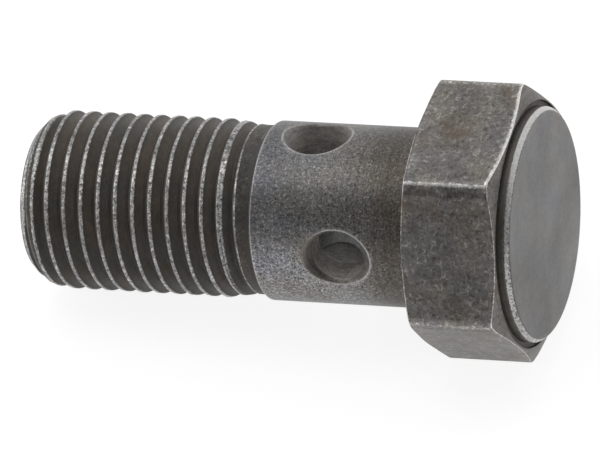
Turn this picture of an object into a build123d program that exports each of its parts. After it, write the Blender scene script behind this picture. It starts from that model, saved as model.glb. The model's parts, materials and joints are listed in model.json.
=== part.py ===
from build123d import *

import os
from math import atan2, cos, pi, radians, sin, tan

# A hollow banjo bolt, M10 x 1: one forged, turned and cross-drilled piece.
#
# The bolt is modelled upright about the Z axis, with the bearing face of its head at Z = 0 and the
# shank pointing down. The finished piece is then laid on its side as it rests on a table, on one flat
# of the hexagon and on the first full diameter of the thread, with the centre of the bearing face
# still at the origin. The thread is a plain blank over its crests. Millimetres.

# ---- driving dimensions ----------------------------------------------------------------------------
# Shank, the thread's blank, and the neck between them
under_head_length = 23.0
shank_diameter = 9.84
shank_length = 9.45
shank_edge = 0.12
seat_corner = 0.20  # the cone that fills the corner between shank and head
neck_diameter = 9.28
neck_length = 0.95
thread_diameter = 9.80  # over the crests
thread_fade_length = 1.60  # the blank rises from the neck to full diameter in this length

# Free end: a 45 degree chamfer, then a slim lead on which the first crests are low
end_diameter = 8.0
end_chamfer = 0.57
lead_length = 0.93

# Oil passages
bore_diameter = 6.2
bore_mouth_chamfer = 0.30
bore_overrun = 0.10  # the bore's full width ends this far past the drilling next to the head
drill_point_angle = 118.0
drilling_diameter = 3.0
countersink_diameter = 3.9
countersink_angle = 90.0
near_level = 4.50  # below the bearing face, drilled along Y
far_level = 6.50  # below the bearing face, drilled along X

# Hexagonal head
across_flats = 13.8
hexagon_sides = 6
corner_radius = 0.70
head_height = 5.36  # to the inner edge of the top chamfer
head_clock = 16.0  # the lowest flat's normal, from +X about the bolt's axis
bearing_inset = 0.05  # from the flats to the flat part of the bearing face
bearing_chamfer_angle = 14.0
crown_inset = 0.15  # from the flats to the inner edge of the top chamfer
crown_chamfer_angle = 20.0

# Turned disc on top of the head, standing in a shallow ring-shaped recess
recess_width = 0.33
recess_depth = 0.21
disc_height = 0.60  # above the inner edge of the top chamfer
disc_edge_height = 0.26
disc_edge_width = 0.22

# ---- worked out from the dimensions -----------------------------------------------------------------
thread_radius = thread_diameter / 2
shank_radius = shank_diameter / 2
neck_radius = neck_diameter / 2
end_radius = end_diameter / 2
bore_radius = bore_diameter / 2
bearing_radius = across_flats / 2 - bearing_inset
crown_radius = across_flats / 2 - crown_inset
disc_radius = crown_radius - recess_width
corner_reach = across_flats / 2 / cos(pi / hexagon_sides)
neck_start = shank_length + neck_length
full_thread_start = neck_start + thread_fade_length
full_thread_end = under_head_length - end_chamfer - lead_length
bore_floor = near_level - drilling_diameter / 2 - bore_overrun
upright_axis = Axis((0, 0, 0), (0, 0, 1))


# ---- hexagonal head ---------------------------------------------------------------------------------
with BuildPart() as head:
    with BuildSketch(Plane.XY) as hexagon:
        RegularPolygon(
            across_flats / 2,
            hexagon_sides,
            major_radius=False,
            rotation=head_clock + 180 / hexagon_sides,
        )
        fillet(hexagon.vertices(), corner_radius)
    extrude(amount=head_height)

    # both ends of the hexagon are turned to a shallow cone
    bearing_rise = (corner_reach - bearing_radius) * tan(radians(bearing_chamfer_angle))
    crown_drop = (corner_reach - crown_radius) * tan(radians(crown_chamfer_angle))
    with BuildSketch(Plane.XZ) as turned_outline:
        Polygon(
            (0, 0),
            (bearing_radius, 0),
            (corner_reach, bearing_rise),
            (corner_reach, head_height - crown_drop),
            (crown_radius, head_height),
            (0, head_height),
            align=None,
        )
    revolve(axis=upright_axis, mode=Mode.INTERSECT)

    # a ring is turned out of the crown, and the disc stands in it
    with BuildSketch(Plane.XZ) as recess:
        with Locations((disc_radius, head_height)):
            Rectangle(recess_width, recess_depth, align=(Align.MIN, Align.MAX))
    revolve(axis=upright_axis, mode=Mode.SUBTRACT)

    disc_top = head_height + disc_height
    with BuildSketch(Plane.XZ) as disc_outline:
        Polygon(
            (0, head_height),
            (disc_radius, head_height),
            (disc_radius, disc_top - disc_edge_height),
            (disc_radius - disc_edge_width, disc_top),
            (0, disc_top),
            align=None,
        )
    revolve(axis=upright_axis)


# ---- shank, neck and thread blank -------------------------------------------------------------------
with BuildPart() as shank:
    with BuildSketch(Plane.XZ) as shank_outline:
        Polygon(
            (0, 0),
            (0, -under_head_length),
            (end_radius, -under_head_length),
            (end_radius + end_chamfer, -under_head_length + end_chamfer),
            (thread_radius, -full_thread_end),
            (thread_radius, -full_thread_start),
            (neck_radius, -neck_start),
            (neck_radius, -shank_length),
            (shank_radius - shank_edge, -shank_length),
            (shank_radius, -shank_length + shank_edge),
            (shank_radius, -seat_corner),
            (shank_radius + seat_corner, 0),
            align=None,
        )
    revolve(axis=upright_axis)


# ---- the upright bolt -------------------------------------------------------------------------------
with BuildPart() as upright_bolt:
    add(head.part)
    add(shank.part)

    # axial bore with a drill point, open at the free end
    bore_point = bore_radius / tan(radians(drill_point_angle / 2))
    with BuildSketch(Plane.XZ) as bore_outline:
        Polygon(
            (0, -under_head_length),
            (bore_radius + bore_mouth_chamfer, -under_head_length),
            (bore_radius, -under_head_length + bore_mouth_chamfer),
            (bore_radius, -bore_floor),
            (0, -bore_floor + bore_point),
            align=None,
        )
    revolve(axis=upright_axis, mode=Mode.SUBTRACT)

    # two cross-drillings at right angles, each through both walls and countersunk outside
    mouths = []
    for level, outward in ((near_level, Vector(0, 1, 0)), (far_level, Vector(1, 0, 0))):
        for side in (1, -1):
            normal = outward * side
            mouths.append(Plane(origin=normal * shank_radius + Vector(0, 0, -level), z_dir=normal))
    with Locations(mouths):
        CounterSinkHole(
            drilling_diameter / 2,
            countersink_diameter / 2,
            depth=shank_radius,
            counter_sink_angle=countersink_angle,
        )


# ---- the bolt at rest on its side -------------------------------------------------------------------
rest_tilt = atan2(across_flats / 2 - thread_radius, full_thread_end)
downward = Vector(sin(rest_tilt), 0, -cos(rest_tilt))
head_direction = Vector(cos(rest_tilt), 0, sin(rest_tilt))
clock_zero = downward.rotate(Axis((0, 0, 0), head_direction), -head_clock)
lying = Plane(origin=(0, 0, 0), x_dir=clock_zero, z_dir=head_direction)

with BuildPart(lying) as banjo_bolt:
    add(upright_bolt.part)

banjo_bolt.part.label = "banjo_bolt"
os.makedirs("parts", exist_ok=True)
export_step(banjo_bolt.part, "parts/banjo_bolt.step")
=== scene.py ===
import json
import math

import bpy
import numpy as np
from bpy.props import FloatProperty, FloatVectorProperty, PointerProperty
from mathutils import Matrix, Vector


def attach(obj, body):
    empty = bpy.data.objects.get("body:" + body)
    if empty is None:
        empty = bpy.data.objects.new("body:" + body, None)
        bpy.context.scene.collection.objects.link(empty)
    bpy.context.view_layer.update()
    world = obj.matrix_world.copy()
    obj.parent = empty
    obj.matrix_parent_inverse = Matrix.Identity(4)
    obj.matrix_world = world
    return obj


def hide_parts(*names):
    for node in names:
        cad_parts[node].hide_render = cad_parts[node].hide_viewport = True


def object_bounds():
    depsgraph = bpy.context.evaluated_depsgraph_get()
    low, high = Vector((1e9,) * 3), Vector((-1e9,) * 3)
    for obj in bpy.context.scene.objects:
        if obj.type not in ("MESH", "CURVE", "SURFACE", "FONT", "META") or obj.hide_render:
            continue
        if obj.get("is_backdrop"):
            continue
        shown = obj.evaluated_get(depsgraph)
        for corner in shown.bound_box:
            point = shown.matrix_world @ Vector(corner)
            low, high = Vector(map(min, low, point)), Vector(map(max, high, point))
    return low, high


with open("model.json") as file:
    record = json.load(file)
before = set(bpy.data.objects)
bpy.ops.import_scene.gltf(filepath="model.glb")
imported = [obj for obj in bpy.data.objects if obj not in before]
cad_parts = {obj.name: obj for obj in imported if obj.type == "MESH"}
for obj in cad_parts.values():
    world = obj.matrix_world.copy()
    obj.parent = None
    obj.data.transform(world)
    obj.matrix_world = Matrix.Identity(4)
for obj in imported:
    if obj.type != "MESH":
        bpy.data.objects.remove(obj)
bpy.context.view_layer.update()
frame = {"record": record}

bl_info = {
    "name": "Banjo Bolt",
    "version": (1, 0, 0),
    "blender": (4, 5, 0),
    "location": "3D View > Sidebar > Banjo Bolt",
    "description": "Builds a hollow hexagon-head banjo bolt with its thread, drillings and worn steel finish",
    "category": "Add Mesh",
}

NODE = "banjo_bolt"
COLUMNS = 240  # points in each ring round the bolt
PER_SIDE = COLUMNS // 6  # of these, those on one side of the hexagon
AROUND = 2 * math.pi * np.arange(COLUMNS) / COLUMNS  # angle of each column
ROW = 0.0002  # spacing of the rings where the drillings come in, m


def length(name, about, value):
    """A size that the user can change, in metres."""
    return FloatProperty(name=name, description=about, default=value, min=0.0, unit="LENGTH", precision=5)


def angle(name, about, degrees):
    """An angle that the user can change, kept in radians."""
    return FloatProperty(name=name, description=about, default=math.radians(degrees), subtype="ANGLE")


def colour(name, about, value):
    """A linear colour that the user can change."""
    return FloatVectorProperty(name=name, description=about, default=value, size=3, min=0.0, max=1.0,
                               subtype="COLOR")


def amount(name, about, value, top=1.0):
    """A plain share or factor that the user can change."""
    return FloatProperty(name=name, description=about, default=value, min=0.0, max=top)


# ---- sizes and colours ---------------------------------------------------------------------------

class BanjoBoltShank(bpy.types.PropertyGroup):
    """Sizes of the plain shank and the neck below it."""
    under_head: length("Length under head", "From the bearing face to the free end", 0.023)
    radius: length("Shank radius", "Radius of the plain shank", 0.00492)
    reach: length("Shank length", "From the bearing face to the shank's lower edge", 0.00945)
    edge: length("Shank edge", "Bevel of the shank's lower edge", 0.00012)
    seat_corner: length("Seat corner", "Cone that fills the corner between shank and head", 0.0002)
    neck_radius: length("Neck radius", "Radius of the neck between shank and thread", 0.00464)
    neck_reach: length("Neck length", "From the shank's lower edge to where the thread's blank rises", 0.00095)


class BanjoBoltThread(bpy.types.PropertyGroup):
    """Sizes of the right-hand thread."""
    radius: length("Crest radius", "Radius over the crests", 0.0049)
    pitch: length("Pitch", "Rise in one turn", 0.001)
    depth: length("Groove depth", "Depth of the groove below the crests", 0.0006)
    root: length("Root width", "Flat at the bottom of the groove", 0.00014)
    flank: angle("Flank angle", "Lean of each flank from square to the axis", 30.0)
    fade: length("Fade", "The crests rise from the neck to full height in this length", 0.0016)
    lead: length("Lead", "The first crests are low over this length", 0.00093)
    end_radius: length("End radius", "Radius of the free end's flat ring", 0.004)
    end_chamfer: length("End chamfer", "Chamfer of the free end", 0.00057)
    groove_end: length("Groove end", "How far below the bearing face the full groove ends", 0.0103344)
    runout: angle("Run-out", "Turn in which the groove fades out", 140.0)
    wander: length("Wander", "Unevenness of the crests", 0.000018)


class BanjoBoltPassages(bpy.types.PropertyGroup):
    """Sizes of the bore and the crossed drillings."""
    bore: length("Bore radius", "Radius of the axial bore", 0.0031)
    bore_floor: length("Bore floor", "Where the bore's full width ends, below the bearing face", 0.0029)
    point: angle("Drill point", "Whole angle of the drill point", 118.0)
    mouth: length("Mouth chamfer", "Chamfer of the bore's mouth", 0.0003)
    drilling: length("Drilling radius", "Radius of the cross drillings", 0.0015)
    countersink: length("Countersink radius", "Radius of the countersinks", 0.00195)
    near_level: length("Near level", "Depth of the drilling next to the head", 0.0045)
    far_level: length("Far level", "Depth of the drilling further from the head", 0.0065)
    rim: length("Rim rounding", "Worn rounding of the countersinks' rims", 0.00007)


class BanjoBoltHead(bpy.types.PropertyGroup):
    """Sizes of the hexagonal head and its turned crown."""
    half_flats: length("Half across flats", "From the axis to a flat", 0.0069)
    corner: length("Corner radius", "Rounding of the hexagon's corners", 0.00065)
    facet: length("Facet", "Reach of the facet that wrenches have worn beside each corner", 0.00070)
    facet_lean: angle("Facet lean", "How far the facet leans from its flat", 10.0)
    clock: angle("Clock", "Direction of a flat's normal, from the far drilling", 16.0)
    height: length("Height", "From the bearing face to the inner edge of the top chamfer", 0.00536)
    bearing: length("Bearing radius", "Radius of the flat part of the bearing face", 0.00685)
    bearing_angle: angle("Bearing chamfer", "Lean of the chamfer round the bearing face", 14.0)
    crown: length("Crown radius", "Radius of the inner edge of the top chamfer", 0.00675)
    crown_angle: angle("Crown chamfer", "Lean of the top chamfer", 20.0)
    disc: length("Disc radius", "Radius of the turned disc", 0.00642)
    disc_rise: length("Disc rise", "Height of the disc over the top chamfer's inner edge", 0.0006)
    disc_edge: length("Disc edge height", "Height of the chamfer round the disc", 0.00026)
    disc_edge_width: length("Disc edge width", "Width of the chamfer round the disc", 0.00022)
    recess: length("Recess depth", "Depth of the ring-shaped recess", 0.00021)
    edge: length("Edge rounding", "Worn rounding of the head's edges", 0.00009)


class BanjoBoltFinish(bpy.types.PropertyGroup):
    """Colours of the steel in its several states."""
    crest: colour("Worn crest", "Bright steel on the thread's crests", (0.385, 0.38, 0.37))
    flank: colour("Oily flank", "Dark oily steel in the thread", (0.066, 0.061, 0.054))
    land: colour("Dull land", "Dull steel on the thread's low crests", (0.060, 0.056, 0.050))
    shank: colour("Shank", "Dull mottled steel of the shank", (0.165, 0.162, 0.158))
    # the drillings' and the bore's colours are made pale as painted light, which lifts the shade inside them
    drilling: colour("Drilling", "Pale dull steel inside the drillings", (0.52, 0.49, 0.455))
    bore: colour("Bore", "Dull steel inside the bore", (0.40, 0.40, 0.40))
    wall: colour("Wall", "Brownish steel of the disc's side", (0.15, 0.138, 0.124))
    hexagon: colour("Hexagon", "Dull steel of the wrench flats", (0.150, 0.141, 0.130))
    disc: colour("Disc", "Smooth turned steel of the disc", (0.112, 0.1095, 0.1085))
    # the colour towards which marked places are darkened: painted shade on the hexagon's facets and in the drillings,
    # and plain darkening in the recess and the corners
    recess: colour("Recess", "Dirt in the recess and corners", (0.030, 0.027, 0.024))
    rust: colour("Rust", "Thin brown rust stain", (0.115, 0.075, 0.050))
    edge: colour("Worn edge", "Bright steel on worn edges", (0.62, 0.615, 0.60))


class BanjoBoltStage(bpy.types.PropertyGroup):
    """Where the camera stands, and the colours and strengths of the stage."""
    off_axis: angle("Off axis", "Angle between the bolt's axis and the line to the camera", 71.535)
    around: angle("Around", "Clock of the camera, from the far drilling", -120.8)
    roll: angle("Roll", "Turn of the camera about its own line of sight", 3.087)
    distance: length("Distance", "From the bearing face's centre to the camera", 0.5487)
    lens: FloatProperty(name="Lens", description="Focal length in millimetres", default=605.376, min=1.0)
    aside: FloatProperty(name="Aside", description="The bearing face's centre in the view, right of its middle",
                         default=0.0076916, unit="LENGTH", precision=6)
    above: FloatProperty(name="Above", description="The bearing face's centre in the view, above its middle",
                         default=0.0003279, unit="LENGTH", precision=6)
    floor: colour("Floor", "Pale floor", (0.86, 0.86, 0.86))
    backdrop: colour("Backdrop", "White surroundings", (1.0, 1.0, 1.0))
    shadow: amount("Shadow", "How much of the bolt's shadow shows on the floor", 0.3)
    ambient: amount("Ambient", "Strength of the light tent", 1.0, 4.0)
    opening: angle("Opening", "Half angle of the tent's dark opening towards the camera", 75.0)
    opening_light: amount("Opening light", "Strength of the light in the middle of the opening", 0.12)
    key: amount("Key light", "Power of the key light in watts", 0.8, 50.0)


# ---- the bolt's own directions -------------------------------------------------------------------

def mount(name):
    """Place and axis of one of the record's mounts, as arrays."""
    for stated in frame["record"]["mounts"]:
        if stated["name"] == name:
            return np.array(stated["pos_m"], float), np.array(stated["axis"], float)
    raise RuntimeError(f"the record has no mount named {name}")


def bolt_axes():
    """The bearing face's centre, and unit vectors along the bolt towards its head, along the far
    drilling, and square to both, which is along the near drilling."""
    origin, away = mount("bearing_face")
    along = -away / np.linalg.norm(away)
    across = -mount("far_drilling")[1]
    across = across - (across @ along) * along
    across /= np.linalg.norm(across)
    return origin, along, across, np.cross(along, across)


def wander(around, along, seed, waves=9, turns=14, stretch=2500.0):
    """Slow unevenness, mostly from -1 to 1: the sum of sines of n * around + m * along + phase over
    1.5 times the root of their number, with n whole, so that it closes round the bolt. around and along
    are arrays or numbers that broadcast together."""
    chance = np.random.default_rng(seed)
    n = chance.integers(1, turns, waves)
    m = chance.uniform(-stretch, stretch, waves)
    phase = chance.uniform(0, 2 * math.pi, waves)
    total = sum(np.sin(n[i] * around + m[i] * along + phase[i]) for i in range(waves))
    return total / math.sqrt(waves) / 1.5


def eased_step(value, low, high):
    """0 below low, 1 above high, and 3t^2 - 2t^3 between them, with t the share of the way."""
    share = np.clip((value - low) / (high - low), 0, 1)
    return share * share * (3 - 2 * share)


def nicks(around, along, radius, places):
    """Depth of small dents: the sum of depth * exp(-(distance / width)^2), with the distance measured
    over the surface. places holds (around, along, width, depth) for each."""
    total = np.zeros(np.broadcast(around, along).shape)
    for where, level, width, depth in places:
        turn = (around - where + math.pi) % (2 * math.pi) - math.pi
        total += depth * np.exp(-((turn * radius) ** 2 + (along - level) ** 2) / width ** 2)
    return total


# ---- the skin and its rings ----------------------------------------------------------------------

class Shell:
    """The bolt's one closed surface, gathered as rings of points and the faces between them.

    A point is given by how far it is along the bolt, its radius and its angle, and stands at
    origin + along * A + radius * (cos(angle) * B + sin(angle) * C), where A, B and C are the bolt's
    directions. Rows run from the bore's end, out of its mouth and up the outside to the disc, so the
    faces point outwards. Each point also keeps three marks: how worn it is; in the thread how far it lies below the
    blank, and elsewhere how much it is darkened, partly as painted shade; and how much painted light lifts the thread's
    groove."""

    MARKS = ("worn", "sunk", "painted_groove_light")

    def __init__(self, materials):
        self.axes = bolt_axes()
        self.materials = materials
        self.names = [material.name for material in materials]
        self.points, self.faces, self.finish, self.count = [], [], [], 0
        self.marks = {title: [] for title in self.MARKS}

    def rings(self, along, radius, around, worn=0.0, sunk=0.0, painted_groove_light=0.0):
        """Adds points and returns their numbers, in the shape that the arrays broadcast to."""
        along, radius, around, *marks = np.broadcast_arrays(along, radius, around, worn, sunk, painted_groove_light)
        origin, a, b, c = self.axes
        place = (along[..., None] * a + (radius * np.cos(around))[..., None] * b
                 + (radius * np.sin(around))[..., None] * c + origin)
        numbers = self.count + np.arange(along.size).reshape(along.shape)
        self.points.append(place.reshape(-1, 3))
        for title, values in zip(self.MARKS, marks):
            self.marks[title].append(values.ravel())
        self.count += along.size
        return numbers

    def add(self, faces, finish):
        """Keeps faces of four point numbers each, with the material slot of their finish."""
        self.faces.append(faces)
        self.finish.append(np.full(len(faces), self.names.index(finish)))

    def skin(self, numbers, finish, keep=None, closed=True):
        """Faces between neighbouring rows: each joins points j and j+1 of a row to those of the next."""
        numbers = np.array(numbers)
        if closed:
            numbers = np.concatenate([numbers, numbers[:, :1]], axis=1)
        faces = np.stack([numbers[:-1, :-1], numbers[:-1, 1:], numbers[1:, 1:], numbers[1:, :-1]], axis=-1)
        self.add(faces.reshape(-1, 4) if keep is None else faces[keep], finish)

    def cap(self, ring, along, finish):
        """Closes a row with a fan of triangles to one point on the bolt's axis."""
        centre = np.full_like(ring, self.rings(along, 0.0, 0.0))
        self.add(np.stack([ring, np.roll(ring, -1), centre, centre], axis=-1), finish)

    def mesh(self, name):
        """Welds points that share a place, drops faces that have lost their width, and makes the mesh."""
        points, faces = np.concatenate(self.points), np.concatenate(self.faces)
        finish = np.concatenate(self.finish)
        steps = 2e7  # in a metre: points in the same step of 0.05 micrometre are one
        _, first, back = np.unique(np.round(points * steps).astype(np.int64), axis=0,
                                   return_index=True, return_inverse=True)
        faces, points = back.ravel()[faces], points[first]
        differs = faces != np.roll(faces, 1, axis=1)
        corners = differs.sum(axis=1)
        folded = (faces[:, 0] == faces[:, 2]) | (faces[:, 1] == faces[:, 3])
        keep = (corners >= 3) & ~folded
        loops = faces[keep][differs[keep]]
        starts = np.concatenate([[0], np.cumsum(corners[keep])[:-1]])
        made = bpy.data.meshes.new(name)
        made.vertices.add(len(points))
        made.vertices.foreach_set("co", points.astype(np.float32).ravel())
        made.loops.add(len(loops))
        made.loops.foreach_set("vertex_index", loops.astype(np.int32))
        made.polygons.add(len(starts))
        made.polygons.foreach_set("loop_start", starts.astype(np.int32))
        made.polygons.foreach_set("material_index", finish[keep].astype(np.int32))
        made.polygons.foreach_set("use_smooth", np.ones(len(starts), bool))
        for material in self.materials:
            made.materials.append(material)
        made.update(calc_edges=True)
        for title, values in self.marks.items():
            values = np.concatenate(values)[first].astype(np.float32)
            made.attributes.new(title, "FLOAT", "POINT").data.foreach_set("value", values)
        if made.validate(verbose=False):
            raise RuntimeError(f"the mesh of {name} had faulty faces")
        return made


def eased(points, reach, steps=4):
    """A profile with its corners eased. points is a list of (along, radius), each a number or an array
    round the bolt; reach gives for each corner how far from it the easing starts, but at most 45% of
    either side. A corner C becomes the curve (1-u)^2 A + 2u(1-u) C + u^2 B between the points A and B
    on its two sides. Returns the rows' along and radius, and their wear, which is 1 at a corner's
    middle and 0 at its ends."""
    spots = [np.array([np.ones(COLUMNS) * part for part in spot]) for spot in points]
    rows, wear = [spots[0]], [0.0]
    for before, corner, after, limit in zip(spots, spots[1:], spots[2:], reach):
        back, on = before - corner, after - corner
        far, near = np.linalg.norm(back, axis=0), np.linalg.norm(on, axis=0)
        step = np.minimum(limit, 0.45 * np.minimum(far, near))
        start = corner + back * (step / np.maximum(far, 1e-12))
        end = corner + on * (step / np.maximum(near, 1e-12))
        for u in np.arange(steps + 1) / steps:
            rows.append((1 - u) ** 2 * start + 2 * u * (1 - u) * corner + u ** 2 * end)
            wear.append(math.sin(math.pi * u))
    rows = np.array(rows + [spots[-1]])
    return rows[:, 0], rows[:, 1], np.array(wear + [0.0])


# ---- the thread ----------------------------------------------------------------------------------

def blank_radius(shank, thread, along):
    """Radius of the blank before its thread is cut, by straight lines between the ends of its cones."""
    end = -shank.under_head
    chamfer_end = end + thread.end_chamfer
    neck = -shank.reach - shank.neck_reach
    marks = [end, chamfer_end, chamfer_end + thread.lead, neck - thread.fade, neck, 0.0]
    radii = [thread.end_radius, thread.end_radius + thread.end_chamfer, thread.radius, thread.radius,
             shank.neck_radius, shank.neck_radius]
    return np.interp(along, marks, radii)


def thread_surface(shank, thread, along, around):
    """Radius and marks of the thread. The groove's middle climbs one pitch a turn. At a distance w from
    it the radius is crest - depth + max(0, w - root / 2) / tan(flank), and the surface is the lower of
    that and the blank, with the crest's edges eased over 0.02 mm. Past the groove's end the depth falls
    to nothing by a cosine over the run-out.

    Returns the radius; the wear; how far the surface lies below the blank; and the groove's painted light,
    which lifts its colour against the shade there: it is that depth on the flank that faces the head, and one value
    each on the root and on the other flank. The wear is 1 on a crest of full height up to 0.1 mm from the groove's edge
    and less in the middle of a wide crest. A low crest is worn only in a line along its edge towards the free end. On
    the lead the line is broader and along the other edge, and the rest is worn faintly."""
    turn = around / (2 * math.pi)
    nearest = np.round((along + thread.groove_end) / thread.pitch - turn)
    past = np.clip((nearest + turn) * 2 * math.pi / thread.runout, 0, 1)
    depth = thread.depth * 0.5 * (1 + np.cos(math.pi * past))
    off = along + thread.groove_end - thread.pitch * (nearest + turn)
    half_root = thread.root / 2
    slope = 1 / math.tan(thread.flank)
    groove = thread.radius - depth + np.maximum(0, np.abs(off) - half_root) * slope
    groove = np.where(depth < 1e-6, 1.0, groove)
    blank = blank_radius(shank, thread, along)
    # wear, by the distance inward from the groove's edge
    inward = np.abs(off) - half_root - (blank - thread.radius + depth) / slope
    full = eased_step(blank, thread.radius - 0.00021, thread.radius - 0.00014)
    chamfer_end = -shank.under_head + thread.end_chamfer
    lead = along < chamfer_end + thread.lead
    line_reach = 0.00008 + 0.00012 * lead
    line = (1 - eased_step(inward, line_reach, line_reach + 0.0001)) * np.where(lead, off < 0, off > 0)
    line = np.maximum(line, 0.3 * lead + 0.2 * (along < chamfer_end))
    wide = 1 - 0.65 * eased_step(inward, 0.00011, 0.00018)
    on_crest = (1 - eased_step(-inward, 0.0, 0.00003)) * (past < 1)
    worn = (full * wide + (1 - full) * line * (0.68 + 0.34 * lead)) * on_crest
    # the lower of blank and groove, with the edge between them eased
    blank = blank + thread.wander * wander(around, along, 5) * (blank > shank.neck_radius + 1e-5)
    ease = 0.00002
    overlap = np.maximum(ease - np.abs(blank - groove), 0) / ease
    radius = np.minimum(blank, groove) - overlap ** 2 * ease / 4
    sunk = np.maximum(blank - radius, 0)
    # the groove's painted light: it grows with depth on the flank that faces the head, is small on the root and larger
    # on the other flank
    beside_root = half_root + 0.000005
    painted_groove_light = np.where(off < -beside_root, sunk, np.where(off < beside_root, 0.00004, 0.0004))
    return radius, worn, sunk, painted_groove_light


def thread_rings(shell, shank, thread, top):
    """The threaded end, from the end circle up to the level top. Each row climbs with the helix, at a
    fixed place across it, and is held within the zone's two ends; a row's last point is the first
    point of the row one pitch higher."""
    pitch = thread.pitch
    side = thread.depth * math.tan(thread.flank)
    crest = pitch / 2 - thread.root / 2 - side  # half the crest's width
    across = np.concatenate([np.array([0, 0.5, 0.88]) * crest,
                             crest + np.array([0.04, 0.16, 0.34, 0.62, 0.94, 1]) * side])
    phases = np.concatenate([-across[:0:-1], across])
    middle = -thread.groove_end - pitch / 2
    low = -shank.under_head
    turns = np.arange(math.floor((low - middle) / pitch) - 2, math.ceil((top - middle) / pitch) + 3)
    starts = (middle + turns[:, None] * pitch + phases).ravel()
    along = np.clip(starts[:, None] + pitch * AROUND / (2 * math.pi), low, top)
    radius, worn, sunk, painted_groove_light = thread_surface(shank, thread, along, AROUND)
    # small dents on the crests, away from the zone's two ends
    chance, dents = np.random.default_rng(11), 60
    places = [(chance.uniform(0, 2 * math.pi), chance.uniform(low, top), chance.uniform(8e-5, 16e-5),
               chance.uniform(3e-5, 9e-5)) for _ in range(dents)]
    inside = (along > low + 0.0002) & (along < top - 0.0006)
    radius = radius - nicks(AROUND, along, thread.radius, places) * np.clip(1 - sunk / 0.0001, 0, 1) * inside
    in_mm = 1000
    numbers = shell.rings(along, radius, AROUND, worn, sunk * in_mm, painted_groove_light * in_mm)
    rows = len(phases)
    shell.skin(np.concatenate([numbers[:-rows], numbers[rows:, :1]], axis=1), "thread_steel", closed=False)


# ---- the drillings -------------------------------------------------------------------------------

def border(grid):
    """The outer values of a grid in one loop: along its first row, up its last column, and back."""
    return np.concatenate([grid[0, :-1], grid[:-1, -1], grid[-1, :0:-1], grid[:0:-1, 0]])


class Window:
    """A rectangle left out of a closed grid of rings for a drilling, with the points and places on its
    border, anticlockwise seen from outside. It reaches high rows up and down from the row nearest to
    the drilling's level, and wide columns to each side of its column."""

    def __init__(self, numbers, levels, level, column, high, wide):
        row = int(np.argmin(np.abs(levels - level)))
        rows = np.arange(row - high, row + high + 1)
        columns = np.arange(column - wide, column + wide + 1)
        self.faces = np.ix_(rows[:-1], columns[:-1] % COLUMNS)
        rows = rows[np.argsort(levels[rows])]
        self.points = border(numbers[np.ix_(rows, columns % COLUMNS)])
        turns = 2 * math.pi * columns / COLUMNS
        self.places = np.array([border(part) for part in np.meshgrid(levels[rows], turns, indexing="ij")])


def window_keep(count, windows):
    """Which faces of a grid of rings stay when the windows are left out."""
    keep = np.ones((count - 1, COLUMNS), bool)
    for window in windows:
        keep[window.faces] = False
    return keep


def mouth(radius, cone, turn):
    """Where a 90 degree countersink meets a cylinder of that radius, as its distance from the drilling's
    axis at each angle turn, which is 0 across the bolt. The cone is as wide as cone at the cylinder's
    height. The distance q solves q = cone - radius + sqrt(radius^2 - q^2 cos(turn)^2)."""
    lift, share = radius - cone, 1 + np.cos(turn) ** 2
    return (np.sqrt(lift ** 2 + share * (radius ** 2 - lift ** 2)) - lift) / share


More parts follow.
